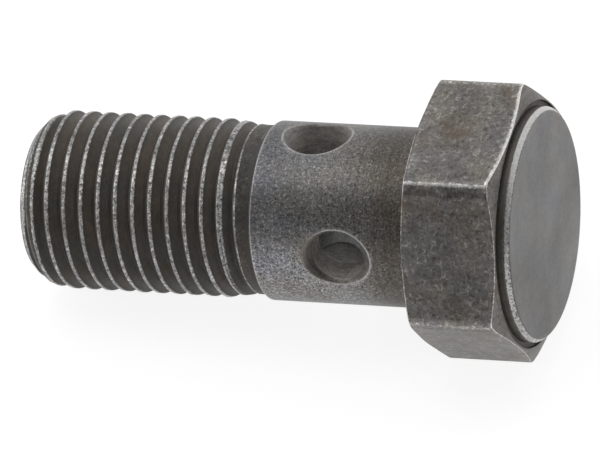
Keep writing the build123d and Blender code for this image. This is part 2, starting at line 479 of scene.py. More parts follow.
def drilling_wall(shell, passages, radius, level, column, dull, painted_hole_shade, outer, inner):
    """One wall of a drilling, from its window in the shank to its window in the bore. Points are worked
    out by their distance q from the drilling's axis and angle turn about it: on a cylinder of radius R
    such a point is q sin(turn) along the bolt and asin(q cos(turn) / R) round it, and in the hole its
    height h above the bolt's axis is given instead, so its radius is sqrt(h^2 + q^2 cos(turn)^2).
    The rim is least worn, and the countersink darkest with painted shade, at the angle dull about the drilling's axis.
    The wall's shade value is the least painted shade that the whole wall gets: it darkens the far walls seen through
    the holes, and the line at the lip into the bore."""
    middle = 2 * math.pi * column / COLUMNS
    bore, drill, rim = passages.bore, passages.drilling, passages.rim

    def turn_of(places, wide):
        return np.arctan2(places[0] - level, (places[1] - middle) * wide)

    def on_cylinder(q, turn, wide):
        return np.array([level + q * np.sin(turn), np.arcsin(np.clip(q * np.cos(turn) / wide, -1, 1)) + middle])

    def height(q, turn, wide):
        """Height above the bolt's axis of a point of a cylinder."""
        return np.sqrt(wide ** 2 - (q * np.cos(turn)) ** 2)

    def ring_between(first, last, share, wide, worn=0.0, sunk=0.0):
        """A ring on a cylinder, a share of the way from one ring's places to another's."""
        along, around = first + (last - first) * share
        return shell.rings(along, wide, around, worn, sunk)

    def ring_in_hole(q, turn, high, worn=0.0, sunk=0.0):
        """A ring of points at a height above the bolt's axis."""
        return shell.rings(level + q * np.sin(turn), np.hypot(high, q * np.cos(turn)),
                           np.arctan2(q * np.cos(turn), high) + middle, worn, sunk)

    start, end = turn_of(outer.places, radius), turn_of(inner.places, bore)
    end = start + (end - start + math.pi) % (2 * math.pi) - math.pi
    edge = mouth(radius, passages.countersink, start)
    # rim wear falls, and the countersink's painted shade grows, towards the dull angle
    fresh = 1 - 0.75 * np.clip(np.cos(start - dull), 0, 1) ** 1.5
    # over the shank, from the window's edge to just outside the rim
    brink = on_cylinder(edge + rim, start, radius)
    rim_wear = 0.42
    rows = [outer.points]
    for share, worn in ((0.3, 0.0), (0.52, 0.0), (0.68, 0.05), (0.8, 0.13), (0.91, 0.25), (1.0, rim_wear)):
        rows.append(ring_between(outer.places, brink, share, radius, worn * fresh))
    shell.skin(rows, "shank_steel")
    # the eased rim, a quadratic curve in distance and height
    top, foot = edge + rim, edge - rim
    high, low = height(edge, start, radius), height(edge, start, radius) - rim
    rows = rows[-1:]
    for u in (0.2, 0.4, 0.6, 0.8, 1.0):
        worn = max(0.0, rim_wear + 0.3 * math.sin(math.pi * u) - 0.7 * u ** 4)
        rows.append(ring_in_hole((1 - u) ** 2 * top + 2 * u * (1 - u) * edge + u ** 2 * foot, start,
                                 (1 - u) ** 2 * height(top, start, radius) + 2 * u * (1 - u) * high + u ** 2 * low,
                                 worn * fresh))
    # the countersink's cone down to the drilling, with painted shade on its dim side, then its wall down to the bore,
    # with the wall's painted shade
    step = radius - passages.countersink + drill  # height at which the cone has come in to the drilling
    for share in (0.5, 0.94, 1.0):
        rows.append(ring_in_hole(foot + (drill - foot) * share, start, low + (step - low) * share,
                                 0.0, np.maximum(painted_hole_shade, 0.36 * (1 - fresh))))
    shell.skin(rows, "countersink_steel")
    rows = rows[-1:]
    for share in (0.05, 0.35, 0.65, 0.94):
        turn = start + (end - start) * share
        rows.append(ring_in_hole(drill, turn, step + (height(drill, turn, bore) - step) * share, 0.0, painted_hole_shade))
    shell.skin(rows, "drilling_steel")
    # the opening into the bore, with a painted dark line at its lip, and the bore's surface out to its window
    lip = on_cylinder(drill, end, bore)
    rows = rows[-1:]
    for share, sunk in ((0.0, max(0.1, painted_hole_shade)), (0.12, 0.0), (0.5, 0.0)):
        rows.append(ring_between(lip, inner.places, share, bore, sunk=sunk))
    shell.skin(rows + [inner.points], "bore_steel")


# ---- the head ------------------------------------------------------------------------------------

def hexagon_outline(head):
    """Radius and angle of each column round the worn hexagon. A corner is two curves with a facet
    between them: each curve is centre + r * direction, with the direction turning from one face's
    normal to the next and the centre r inside both faces. Returns also the angle that each column
    faces, and its stage round the corner: 0 on a flat, to 1 over the first curve, to 2 over the facet
    and to 3 over the second curve."""
    flat, half_side = head.half_flats, math.pi / 6  # half_side: from a corner to a flat's normal
    on_tight, on_facet, on_slight = 13, 2, 4  # columns on a corner's first curve, facet and second curve
    spare = PER_SIDE - on_tight - on_facet - on_slight

    def towards(turn):
        return np.array([np.cos(turn), np.sin(turn)])

    def curve(before, after, radius, count):
        faces = np.array([towards(before[0]), towards(after[0])])
        centre = np.linalg.solve(faces, np.array([before[1], after[1]]) - radius)
        turn = np.linspace(before[0], after[0], count)
        return centre[:, None] + radius * towards(turn), turn

    lean = half_side - head.facet_lean
    vertex = np.array([flat / math.cos(half_side), 0.0])
    offset = towards(lean) @ (vertex + head.facet * np.array([-math.sin(half_side), math.cos(half_side)]))
    tight, tight_turn = curve((-half_side, flat), (lean, offset), head.corner, on_tight)
    slight, slight_turn = curve((lean, offset), (half_side, flat), head.corner * 1.4, on_slight)
    share = np.arange(1, on_facet + 1) / (on_facet + 1)
    facet = tight[:, -1:] * (1 - share) + slight[:, :1] * share
    stages = np.concatenate([np.linspace(0, 1, on_tight), 1 + share, np.linspace(2, 3, on_slight), np.zeros(spare)])
    # the flat, with its columns closer together near the corners
    share = np.arange(1, spare + 1) / (spare + 1)
    share = share - 0.11 * np.sin(2 * math.pi * share)
    turned = np.array([[0.5, -math.sin(2 * half_side)], [math.sin(2 * half_side), 0.5]]) @ tight[:, :1]
    side = slight[:, -1:] * (1 - share) + turned * share
    x, y = np.concatenate([tight, facet, slight, side], axis=1)
    facing = np.concatenate([tight_turn, np.full(on_facet, lean), slight_turn, np.full(spare, half_side)])
    sides = np.arange(6)[:, None] * 2 * half_side
    # the first column lies before the corner, so the rings turn a little to meet the shank's
    corner, before = head.clock + half_side, 8
    first = round(corner / (2 * math.pi) * COLUMNS) - before
    around = np.roll((np.arctan2(y, x) + sides).ravel() + corner, first)
    return (np.roll(np.tile(np.hypot(x, y), 6), first), np.unwrap(around),
            np.roll((facing + sides).ravel() + corner, first), np.roll(np.tile(stages, 6), first))


def by_clock(around, pairs):
    """A value for each angle, by straight lines between pairs of (degrees, value) that go once round."""
    degrees, values = zip(*pairs)
    return np.interp(np.degrees(around) % 360, degrees, values, period=360)


def hexagon_rings(shell, head, shank, ring):
    """The head from the ring at the top of the shank to the crown's inner edge. Each row is the same
    profile followed round the hexagon's outline: bearing face, its chamfer, the side and the crown's
    chamfer. Returns each column's angle, and the last ring with its level and radius."""
    outline, clock, facing, stage = hexagon_outline(head)
    clock = clock - 2 * math.pi * np.round(clock[0] / (2 * math.pi))
    # how worn each edge is round the head: most on the side that leads up to the brightest corner, which faces the
    # light, so that the bright wear there is partly painted highlight
    wear_and_highlight = by_clock(facing, ((16, 0.5), (76, 0.55), (136, 0.7), (190, 1.0), (222, 1.0), (250, 0.5),
                               (286, 0.75), (316, 0.5)))
    seat = by_clock(facing, ((16, 0.6), (190, 0.45), (222, 0.5), (236, 0.85), (286, 0.8), (316, 0.6)))
    # the corners' own wear: a thin line on the first curve, strongest on the corners that face about 204 to 250
    # degrees, where it is partly painted highlight; a broad lightening; and a facet darkened as painted shade on the
    # corners that face about 210 to 256 degrees, for the dark that they reflect
    crisp = np.exp(-((stage - 0.66) / 0.28) ** 2) * by_clock(
        facing, ((16, 0.35), (196, 0.35), (204, 0.56), (250, 0.56), (262, 0.12), (310, 0.12), (320, 0.35)))
    broad = (stage > 0) * np.exp(-((stage - 0.95) / 0.75) ** 2) * by_clock(
        facing, ((16, 0.34), (190, 0.34), (200, 0.2), (252, 0.2), (262, 0.34), (300, 0.34), (330, 0.34)))
    ridge = np.maximum(crisp, broad)
    # painted shade on the facet, standing for the dark that it reflects
    painted_facet_shade = eased_step(stage, 0.95, 1.15) * (1 - eased_step(stage, 2.2, 2.6)) * by_clock(
        facing, ((16, 0.03), (196, 0.03), (210, 0.15), (256, 0.15), (262, 0.03)))
    # the bearing face: the columns turn from even steps to the hexagon's
    ledge = 0.0001  # flat left for the easing of the bearing face's edge
    base, bearing = shank.radius + shank.seat_corner, head.bearing - ledge
    face = [ring]
    # the first ring, in the corner under the head, is drawn darker
    for share in (0.0, 0.1, 0.35, 0.65, 0.95):
        face.append(shell.rings(0.0, base + (bearing - base) * share,
                                AROUND + (clock - AROUND) * min(1.0, share / 0.65), sunk=0.25 * (share == 0)))
    shell.skin(face, "hexagon_steel")
    # the chamfer, the side and the crown's chamfer, of which the side gets rows of its own
    lower = (outline - head.bearing) * math.tan(head.bearing_angle)
    upper = head.height - (outline - head.crown) * math.tan(head.crown_angle)
    waviness = 0.000012
    uneven = wander(clock, 0.0, 21, waves=12, turns=40) * waviness
    points = [(0.0, bearing), (0.0, head.bearing), (lower, outline), (upper, outline + uneven),
              (head.height, head.crown)]
    along, radius, wear = eased(points, [head.edge] * 3)
    below = 11  # rows up to the lower edge of the side
    wear[below:below + 2] = 0.5
    row = np.arange(len(wear))[:, None]
    on_side = (row >= below - 3) & (row < below + 3)
    worn = np.maximum(wear[:, None] * wear_and_highlight * np.where(row < below, seat, 1.0), ridge * on_side)
    sunk = painted_facet_shade * on_side
    share = np.array([0.02, 0.05, 0.1, 0.2, 0.35, 0.5, 0.65, 0.8, 0.9, 0.95, 0.98])[:, None]
    near = np.exp(-np.minimum(share, 1 - share) / 0.09) * 0.36 * (0.4 + 0.6 * wear_and_highlight)
    near = np.maximum(near, np.exp(-(1 - share) / 0.012) * np.clip(wear_and_highlight - 0.3, 0, 1))
    parts = ((along[:below], radius[:below], worn[:below], sunk[:below]),
             (along[below - 1] * (1 - share) + along[below] * share,
              radius[below - 1] * (1 - share) + radius[below] * share, np.maximum(near, ridge), painted_facet_shade),
             (along[below:-1], radius[below:-1], worn[below:-1], sunk[below:-1]))
    rows = [face[-1]]
    for levels, widths, wears, dirt in parts:
        rows += list(shell.rings(levels, widths, clock, wears, dirt))
    shell.skin(rows[:-3], "hexagon_steel")
    shell.skin(rows[-4:], "crown_steel")
    return clock, rows[-1], (along[-2], radius[-2])


def crown_rings(shell, head, clock, ring, inner_edge):
    """The turned top of the head, from the last ring of its chamfer, at the place inner_edge, over the
    chamfer's inner edge, down into the recess and up over the disc to its middle."""
    top, deep = head.height + head.disc_rise, head.height - head.recess
    rim = 0.0005  # how far in the disc's worn rim reaches
    points = [inner_edge, (head.height, head.crown), (deep, head.crown), (deep, head.disc),
              (top - head.disc_edge, head.disc), (top, head.disc - head.disc_edge_width), (top, head.disc - rim)]
    along, radius, wear = eased(points, [0.00005, 0.00006, 0.00006, 0.00005, 0.00007])
    # rows: 0, then 5 each on the crown's inner edge, the recess's two corners and the disc's two edges
    recess, disc_edge, rim_end = 6, 16, 22
    # how deep each row lies in the recess, by which it is drawn darker, with the crown's inner edge darkened too
    depth = np.clip((head.height - along) / head.recess, 0, 1)
    depth[1:recess] = np.maximum(depth[1:recess], 0.22)
    # the worn rim's brightness round the head, strongest on the side that faces the light, so partly painted highlight
    shine = by_clock(clock, ((20, 0.6), (90, 0.6), (150, 0.85), (195, 1.05), (215, 0.92), (245, 0.62), (290, 0.56),
                             (330, 0.62)))
    wear = wear[:, None] * np.ones(COLUMNS)
    wear[:disc_edge] *= 0.3
    wear[disc_edge:] = np.array([0.0, 0.3, 0.75, 0.9, 0.9, 0.8, 0.4, 0.34, 0.28, 0.22, 0.05])[:, None] * shine
    rows = [ring, *shell.rings(along[1:], radius[1:], clock, wear[1:], depth[1:])]
    finishes = (("crown_steel", 0, 3), ("recess_steel", 3, disc_edge), ("rim_steel", disc_edge, rim_end))
    for finish, first, last in finishes:
        shell.skin(rows[first:last + 1], finish)
    rows = rows[rim_end:] + [shell.rings(top, head.disc * share, clock) for share in (0.8, 0.55, 0.3, 0.08)]
    shell.skin(rows, "disc_steel")
    shell.cap(rows[-1], top, "disc_steel")


# ---- the bolt ------------------------------------------------------------------------------------

def bolt_mesh(sizes, materials):
    """The whole bolt as one closed surface, from the bore's end round to the disc on the head."""
    shank, thread, passages, head = sizes
    shell = Shell(materials)
    end = -shank.under_head
    near, far, quarter = -passages.near_level, -passages.far_level, COLUMNS // 4
    # each wall's level, its column, the angle at which its rim is least worn and its countersink has the most painted
    # shade, and how much painted shade the wall gets
    walls = ((near, quarter, 0.0, 0.27), (near, 3 * quarter, -math.pi / 2, 0.0),
             (far, 0, 0.0, 0.27), (far, 2 * quarter, math.pi, 0.17))
    # the bore, from its drill point to its mouth, with even rows where the drillings come in
    floor = -passages.bore_floor
    point = floor + passages.bore / math.tan(passages.point / 2)
    share = np.array([0.1, 0.4, 0.7, 0.95])
    even_rows = 27
    even = floor - ROW * np.arange(even_rows)
    tail = even[-1] + (end + passages.mouth - even[-1]) * np.array([0.3, 0.6, 0.875, 1.0])
    levels = np.concatenate([point + (floor - point) * share, even, tail, [end]])
    radius = np.full(len(levels), passages.bore)
    radius[:len(share)] *= share
    radius[-1] += passages.mouth
    bore = shell.rings(levels[:, None], radius[:, None], AROUND)
    inner = [Window(bore, levels, level, column, high=8, wide=23) for level, column, _, _ in walls]
    shell.skin(bore, "bore_steel", window_keep(len(levels), inner))
    shell.cap(bore[0][::-1], point, "bore_steel")
    # the flat end, then the thread up to the neck
    shell.skin([bore[-1], shell.rings(end, thread.end_radius, AROUND)], "end_steel")
    shoulder, neck_left, shank_left = -shank.reach, 0.0003, 0.00015  # left beside the shoulder for its easing
    top = shoulder - neck_left
    thread_rings(shell, shank, thread, top)
    # the neck and the shoulder
    points = [(top, shank.neck_radius), (shoulder, shank.neck_radius), (shoulder, shank.radius - shank.edge),
              (shoulder + shank.edge, shank.radius), (shoulder + shank_left, shank.radius)]
    along, radius, wear = eased(points, [0.00006, 0.00006, 0.00004])
    on_neck = 6  # rows as far as the corner between neck and shoulder
    wear[2:on_neck] = 0.0
    wear[-3:] = (0.75, 0.55, 0.3)
    sunk = 0.15 * (np.arange(len(wear)) < on_neck)
    neck = shell.rings(along, radius, AROUND, np.minimum(wear * 1.3, 1.0)[:, None], sunk[:, None])
    shell.skin(neck[:on_neck + 1], "thread_steel")
    shell.skin(neck[on_neck:], "shank_steel")
    # the shank, with rows in step with the drillings' levels, and the drillings' walls
    levels = near + ROW * np.arange(-23, 22)
    plain = shell.rings(levels[:, None], shank.radius, AROUND)
    outer = [Window(plain, levels, level, column, high=12, wide=19) for level, column, _, _ in walls]
    shell.skin([neck[-1], plain[0]], "shank_steel")
    shell.skin(plain, "shank_steel", window_keep(len(levels), outer))
    for wall, outside, inside in zip(walls, outer, inner):
        drilling_wall(shell, passages, shank.radius, *wall, outside, inside)
    # the corner under the head, drawn darker, and the head
    base = shank.radius + shank.seat_corner
    ledge = 0.0001  # flat past the corner, for its easing
    points = [(levels[-1], shank.radius), (-shank.seat_corner, shank.radius), (0.0, base), (0.0, base + ledge)]
    along, radius, _ = eased(points, [0.00006, 0.00006])
    corner = shell.rings(along[1:-1], radius[1:-1], AROUND, sunk=0.3)
    shell.skin([plain[-1], *corner], "shank_steel")
    crown_rings(shell, head, *hexagon_rings(shell, head, shank, corner[-1]))
    return shell.mesh("banjo_bolt_dressed")


# ---- finishes ------------------------------------------------------------------------------------

class Value:
    """A node's output, with which sums can be written as they are read. Each sum adds a Math node."""

    def __init__(self, wires, socket):
        self.wires, self.socket = wires, socket

    def __add__(self, other):
        return self.wires.math("ADD", self, other)

    def __sub__(self, other):
        return self.wires.math("SUBTRACT", self, other)

    def __mul__(self, other):
        return self.wires.math("MULTIPLY", self, other)

    def __radd__(self, other):
        return self.wires.math("ADD", other, self)

    def __rmul__(self, other):
        return self.wires.math("MULTIPLY", other, self)

    def __abs__(self):
        return self.wires.math("ABSOLUTE", self)


class Wires:
    """Short ways to add nodes to a tree. A value put into a node is a number, a colour or a Value."""

    def __init__(self, tree):
        self.tree = tree

    def put(self, socket, value):
        """Sets a socket to a number or colour, or links a Value to it."""
        if isinstance(value, Value):
            self.tree.links.new(value.socket, socket)
        elif socket.type == "RGBA":
            socket.default_value = (*value, 1.0)
        else:
            socket.default_value = value

    def node(self, kind, *values, **settings):
        """Adds a node with its settings, and puts the values into its first inputs."""
        made = self.tree.nodes.new(kind)
        for key, value in settings.items():
            setattr(made, key, value)
        for socket, value in zip(made.inputs, values):
            self.put(socket, value)
        return made

    def fill(self, made, **values):
        """Puts values into a node's inputs by name, with spaces written as underscores."""
        for key, value in values.items():
            self.put(made.inputs[key.replace("_", " ")], value)
        return made

    def outputs(self, made):
        """A node's outputs by name."""
        return {socket.name: Value(self, socket) for socket in made.outputs if socket.enabled}

    def first(self, kind, *values, **settings):
        """The first output of a new node."""
        return Value(self, self.node(kind, *values, **settings).outputs[0])

    def math(self, operation, *values):
        """The result of a Math node."""
        return self.first("ShaderNodeMath", *values, operation=operation)

    def mark(self, name):
        """One of the marks that the mesh keeps for each point."""
        return self.outputs(self.node("ShaderNodeAttribute", attribute_name=name))["Fac"]

    def mix(self, factor, a, b, blend="MIX"):
        """A colour mixed from two."""
        made = self.node("ShaderNodeMix", factor, data_type="RGBA", blend_type=blend, clamp_result=False)
        self.put(made.inputs[6], a)
        self.put(made.inputs[7], b)
        return Value(self, made.outputs[2])

    def scaled(self, tint, gain):
        """A colour multiplied by a value."""
        made = self.node("ShaderNodeVectorMath", tint, operation="SCALE")
        return Value(self, self.fill(made, Scale=gain).outputs[0])

    def noise(self, place, scale, detail, roughness, seed):
        """Noise from 0 to 1, about 0.5 in the middle, with scale in features per millimetre."""
        moved = self.first("ShaderNodeVectorMath", place, (seed * 3.7, seed * 1.9, seed * 5.3), operation="ADD")
        made = self.fill(self.node("ShaderNodeTexNoise"), Vector=moved, Scale=scale, Detail=detail, Roughness=roughness)
        return self.outputs(made)["Fac"]

    def smooth(self, value, low, high, start=0.0, end=1.0):
        """A value eased from start to end as another goes from low to high."""
        made = self.fill(self.node("ShaderNodeMapRange", interpolation_type="SMOOTHSTEP"), Value=value,
                         From_Min=low, From_Max=high, To_Min=start, To_Max=end)
        return Value(self, made.outputs["Result"])

    def group(self, tree, **values):
        """The outputs of a group placed in this tree, with its inputs set by name."""
        return self.outputs(self.fill(self.node("ShaderNodeGroup", node_tree=tree), **values))


def socket_kind(value):
    """The kind of socket for a default: none is a vector, four numbers are a colour."""
    return {type(None): "NodeSocketVector", tuple: "NodeSocketColor", float: "NodeSocketFloat"}[type(value)]


def new_group(name, inputs, outputs):
    """An empty node group, with its inputs and outputs given as names with defaults. Returns it, its wires,
    the inputs' values by name, and the node that takes what it puts out."""
    tree = bpy.data.node_groups.new(name, "ShaderNodeTree")
    for side, sockets in (("INPUT", inputs), ("OUTPUT", outputs)):
        for title, value in sockets.items():
            socket = tree.interface.new_socket(name=title, in_out=side, socket_type=socket_kind(value))
            if side == "INPUT" and value is not None:
                socket.default_value = value
    w = Wires(tree)
    return tree, w, w.outputs(w.node("NodeGroupInput")), w.node("NodeGroupOutput")


def position_group():
    """Bolt Position: object coordinates turned to the bolt's own directions, in millimetres, with x
    along the bolt and y along the far drilling; and the level along the bolt, the radius and the angle."""
    tree, w, start, end = new_group("Bolt Position", {"Vector": None},
                                    {"Position": None, "Along": 0.0, "Radius": 0.0, "Around": 0.0})
    turned = w.node("ShaderNodeMapping", start["Vector"], vector_type="POINT")
    turned.inputs["Rotation"].default_value = Matrix([list(axis) for axis in bolt_axes()[1:]]).to_euler()
    turned.inputs["Scale"].default_value = (1000, 1000, 1000)  # metres to millimetres
    place = Value(w, turned.outputs[0])
    x, y, z = w.outputs(w.node("ShaderNodeSeparateXYZ", place)).values()
    square = w.math("POWER", y, 2.0) + w.math("POWER", z, 2.0)
    w.fill(end, Position=place, Along=x, Radius=w.math("SQRT", square), Around=w.math("ARCTAN2", z, y))
    return tree


def mottle_group():
    """Mottled Steel: the base colour multiplied by fine grain, broad blotches, light specks, dark pits
    and thin wavy etched lines, each centred on 1 and scaled by its own amount, bluish in some places and
    brownish in others, with a stain in patches.
    Puts out the colour, and the grain as a value about 0.5 for bump and roughness."""
    tree, w, start, end = new_group(
        "Mottled Steel",
        {"Position": None, "Base": (0.2, 0.2, 0.2, 1), "Stain": (0.1, 0.07, 0.05, 1), "Grain Size": 9.0,
         "Grain": 0.5, "Blotch Size": 0.8, "Blotch": 0.4, "Specks": 0.3, "Pits": 0.3, "Etching": 0.0, "Hue": 0.3,
         "Stain Amount": 0.3, "Stain Size": 0.5},
        {"Color": (0.0, 0.0, 0.0, 1), "Grain": 0.0})
    place, size = start["Position"], start["Grain Size"]
    fine = w.noise(place, size, 2.0, 0.75, 1.0)
    coarse = w.noise(place, size * 0.45, 1.0, 0.5, 2.0)
    grain = fine * 0.7 + coarse * 0.3
    blotch = w.noise(place, start["Blotch Size"], 4.0, 0.62, 3.0)
    spots = w.noise(place, size * 0.6, 1.0, 0.5, 5.0)
    lines = w.noise(place, 1.7, 2.0, 0.5, 9.0)
    broken = w.noise(place, 2.6, 1.0, 0.5, 12.0)
    etched = w.smooth(abs(lines - 0.5), 0.006, 0.026, 1.0, 0.0) * w.smooth(broken, 0.47, 0.56)
    gain = 1.0 + (grain - 0.5) * (start["Grain"] * 5.0)
    gain = gain + w.smooth(spots, 0.58, 0.70) * start["Specks"] - w.smooth(spots, 0.42, 0.30) * start["Pits"]
    gain = (gain + etched * start["Etching"]) * (1.0 + (blotch - 0.5) * (start["Blotch"] * 5.0))
    warmth = w.smooth(w.noise(place, 0.4, 3.0, 0.6, 8.0), 0.36, 0.64)
    hue = w.mix(start["Hue"], (1.0, 1.0, 1.0), w.mix(warmth, (0.90, 0.96, 1.10), (1.06, 1.0, 0.90)))
    tint = w.scaled(w.mix(1.0, start["Base"], hue, "MULTIPLY"), w.math("MAXIMUM", gain, 0.15))
    patch = w.noise(place, start["Stain Size"], 5.0, 0.65, 4.0)
    stained = w.smooth(patch, 0.5, 0.68) * start["Stain Amount"]
    w.fill(end, Color=w.mix(stained, tint, start["Stain"]), Grain=grain)
    return tree


def worn_group():
    """Worn Edge: a mask that is 1 where the mesh says an edge is worn, broken up by noise."""
    tree, w, start, end = new_group(
        "Worn Edge", {"Position": None, "Worn": 0.0, "Threshold": 0.45, "Ragged": 0.5, "Size": 6.0}, {"Mask": 0.0})
    rough = w.noise(start["Position"], start["Size"], 3.0, 0.65, 6.0)
    pushed = start["Worn"] + (rough - 0.5) * start["Ragged"]
    w.fill(end, Mask=w.smooth(pushed, start["Threshold"] - 0.18, start["Threshold"] + 0.18))
    return tree


def turning_group():
    """Turning Marks: fine rings round the bolt, as a value about 0.5, broken up a little along them. Size
    is how many come in a millimetre along the bolt, and Deep Size outwards from its axis."""
    tree, w, start, end = new_group(
        "Turning Marks", {"Along": 0.0, "Radius": 0.0, "Around": 0.0, "Size": 10.0, "Deep Size": 10.0}, {"Value": 0.0})
    place = w.first("ShaderNodeCombineXYZ", start["Along"] * start["Size"], start["Radius"] * start["Deep Size"],
                    w.math("SINE", start["Around"]) * 1.6)
    w.fill(end, Value=w.noise(place, 1.0, 2.0, 0.6, 7.0))
    return tree


def cleared(block):
    """The wires of a material's or a world's tree, which is emptied."""
    block.use_nodes = True
    block.node_tree.nodes.clear()
    return Wires(block.node_tree)


class Surface:
    """A new material, with its wires w, the place on the bolt, and ways to lay the groups on it."""

    def __init__(self, name, groups):
        self.material = bpy.data.materials.new(name)
        self.groups = groups
        self.w = cleared(self.material)
        coordinates = self.w.outputs(self.w.node("ShaderNodeTexCoord"))
        self.place = self.w.group(groups["position"], Vector=coordinates["Object"])

    def mottled(self, base, stain, **amounts):
        """Mottled Steel, with its amounts over plain defaults."""
        values = {"Grain_Size": 9.0, "Grain": 0.3, "Blotch_Size": 0.8, "Blotch": 0.2, "Specks": 0.15, "Pits": 0.15,
                  "Etching": 0.0, "Hue": 0.3, "Stain_Amount": 0.2, "Stain_Size": 0.5, **amounts}
        return self.w.group(self.groups["mottle"], Position=self.place["Position"], Base=base, Stain=stain, **values)

    def worn(self, threshold, ragged, size):
        """The Worn Edge mask, from the mesh's own mark."""
        return self.w.group(self.groups["worn"], Position=self.place["Position"], Worn=self.w.mark("worn"),
                            Threshold=threshold, Ragged=ragged, Size=size)["Mask"]

    def finished(self, tint, roughness, height, metallic, bump):
        """Ends the material in a Principled BSDF, with a bump from the height."""
        w = self.w
        raised = w.fill(w.node("ShaderNodeBump"), Strength=bump, Distance=0.00003, Height=height)
        shader = w.fill(w.node("ShaderNodeBsdfPrincipled"), Base_Color=tint, Metallic=metallic, Roughness=roughness,
                        Normal=w.outputs(raised)["Normal"])
        w.node("ShaderNodeOutputMaterial", Value(w, shader.outputs[0]))
        return self.material


def steel(name, groups, finish, base, rough, metallic=0.75, bump=0.25, marks=0.1, mark_size=9.0, deep_size=0.0,
          worn=1.0, ragged=0.7, wear_size=6.0, edge=1.0, soft=0.5, sunk=1.0, near_head=0.0, underside=0.0,
          **amounts):
    """A steel finish. Its colour is the mottled base with turning marks; darker and browner towards the
    head, the darkening being painted shade from the head, and slightly bluer towards the thread, both by one amount;
    paler on the lower side as painted light from below, with a grain that is stronger there; darkened towards the
    recess colour where the mesh marks it, which is painted shade on the hexagon's facets and in the drillings and
    plain darkening in the recess and corners; and bright on worn edges with a softer lightening round them.
    Roughness and bump follow the grain."""
    made = Surface(name, groups)
    w, place = made.w, made.place
    spots = made.mottled(base, finish.rust, **amounts)
    tint, grain, stripes = spots["Color"], spots["Grain"], marks
    rings = w.group(groups["turning"], Along=place["Along"], Radius=place["Radius"], Around=place["Around"],
                    Size=mark_size, Deep_Size=deep_size or mark_size)["Value"]
    # painted shade towards the head, with a brown tint, and a slight bluish tint towards the thread
    if near_head:
        share = w.smooth(place["Along"], -5.5, -1.5) * near_head
        tint = w.mix(share, tint, w.mix(1.0, tint, (0.63, 0.585, 0.53), "MULTIPLY"))
        stripes = marks + share * 0.12
        share = w.smooth(place["Along"], -6.0, -9.0) * near_head
        tint = w.mix(share, tint, w.mix(1.0, tint, (0.91, 0.91, 0.96), "MULTIPLY"))
    # painted light from below on the lower side, with a stronger grain there
    if underside:
        low = (w.smooth(place["Around"], math.radians(-115), math.radians(-78))
               * w.smooth(place["Around"], 0.0, math.radians(-30)) * w.smooth(place["Along"], -1.5, -4.0))
        tint = w.scaled(tint, 1.0 + low * (underside + (grain - 0.5) * 4.2))
    tint = w.scaled(tint, 1.0 + (rings - 0.5) * (stripes * 4.0))
    # darkened towards the recess colour by the mesh's mark: painted shade on the hexagon's facets and in the drillings,
    # plain darkening in the recess and corners
    tint = w.mix(w.smooth(w.mark("sunk"), 0.0, 0.5) * sunk, tint, finish.recess)
    tint = w.scaled(tint, 1.0 + w.mark("worn") * soft)
    mask = made.worn(threshold=0.45, ragged=ragged, size=wear_size) * worn
    tint = w.mix(mask, tint, w.scaled(tuple(finish.edge), edge * (0.3 + grain * 1.4)))
    roughness = rough + (grain - 0.5) * 0.5 - mask * 0.12
    return made.finished(tint, roughness, grain + rings * (marks * 2), metallic, bump)


def thread_steel(name, groups, finish):
    """The thread's finish: oily dark flanks, of which the side that faces the head gets paler with depth as
    painted light against the groove's shade, and all are darker away from one side of the bolt as painted
    shade; dull steel on the low crests; and bright worn steel with a ragged border on the full ones,
    brightest on that same side as a painted highlight, and a little brighter towards the floor as painted light."""
    made = Surface(name, groups)
    w, around = made.w, made.place["Around"]
    dark = made.mottled(finish.flank, finish.rust, Grain_Size=7.0, Grain=0.12, Blotch=0.12, Specks=0.15, Pits=0.1,
                        Stain_Amount=0.25, Stain_Size=0.6)
    dull = made.mottled(finish.land, finish.rust, Grain=0.55, Specks=0.7, Pits=0.3, Blotch=0.3)
    light = made.mottled(finish.crest, finish.flank, Grain_Size=10.0, Grain=1.25, Specks=1.0, Pits=0.5,
                         Blotch_Size=0.7, Blotch=0.25, Hue=0.1, Stain_Amount=0.2, Stain_Size=2.5)
    # the side that the painted highlight faces, and the side towards the floor
    side = w.math("COSINE", around - math.radians(-130))
    low = w.math("COSINE", around - math.radians(-30))
    # painted shade: the flanks darker away from that side
    flank_shade = 0.8 + w.smooth(side, 0.2, 0.75) * 0.2
    # painted highlight on the crests on that side, and painted light towards the floor
    wear_and_highlight = 0.87 + low * 0.08 + w.smooth(side, 0.88, 0.99) * 0.42
    # painted light in the groove, from the mesh's mark
    flank = w.scaled(dark["Color"], flank_shade * (0.9 + w.mark("painted_groove_light") * 5.0))
    tint = w.mix(w.smooth(w.mark("sunk"), 0.0, 0.07), dull["Color"], flank)
    mask = made.worn(threshold=0.55, ragged=1.15, size=9.0)
    tint = w.mix(mask, tint, w.scaled(light["Color"], wear_and_highlight))
    roughness = 0.55 + (light["Grain"] - 0.5) * 0.4 - mask * 0.2
    return made.finished(tint, roughness, light["Grain"], metallic=0.4, bump=0.4)


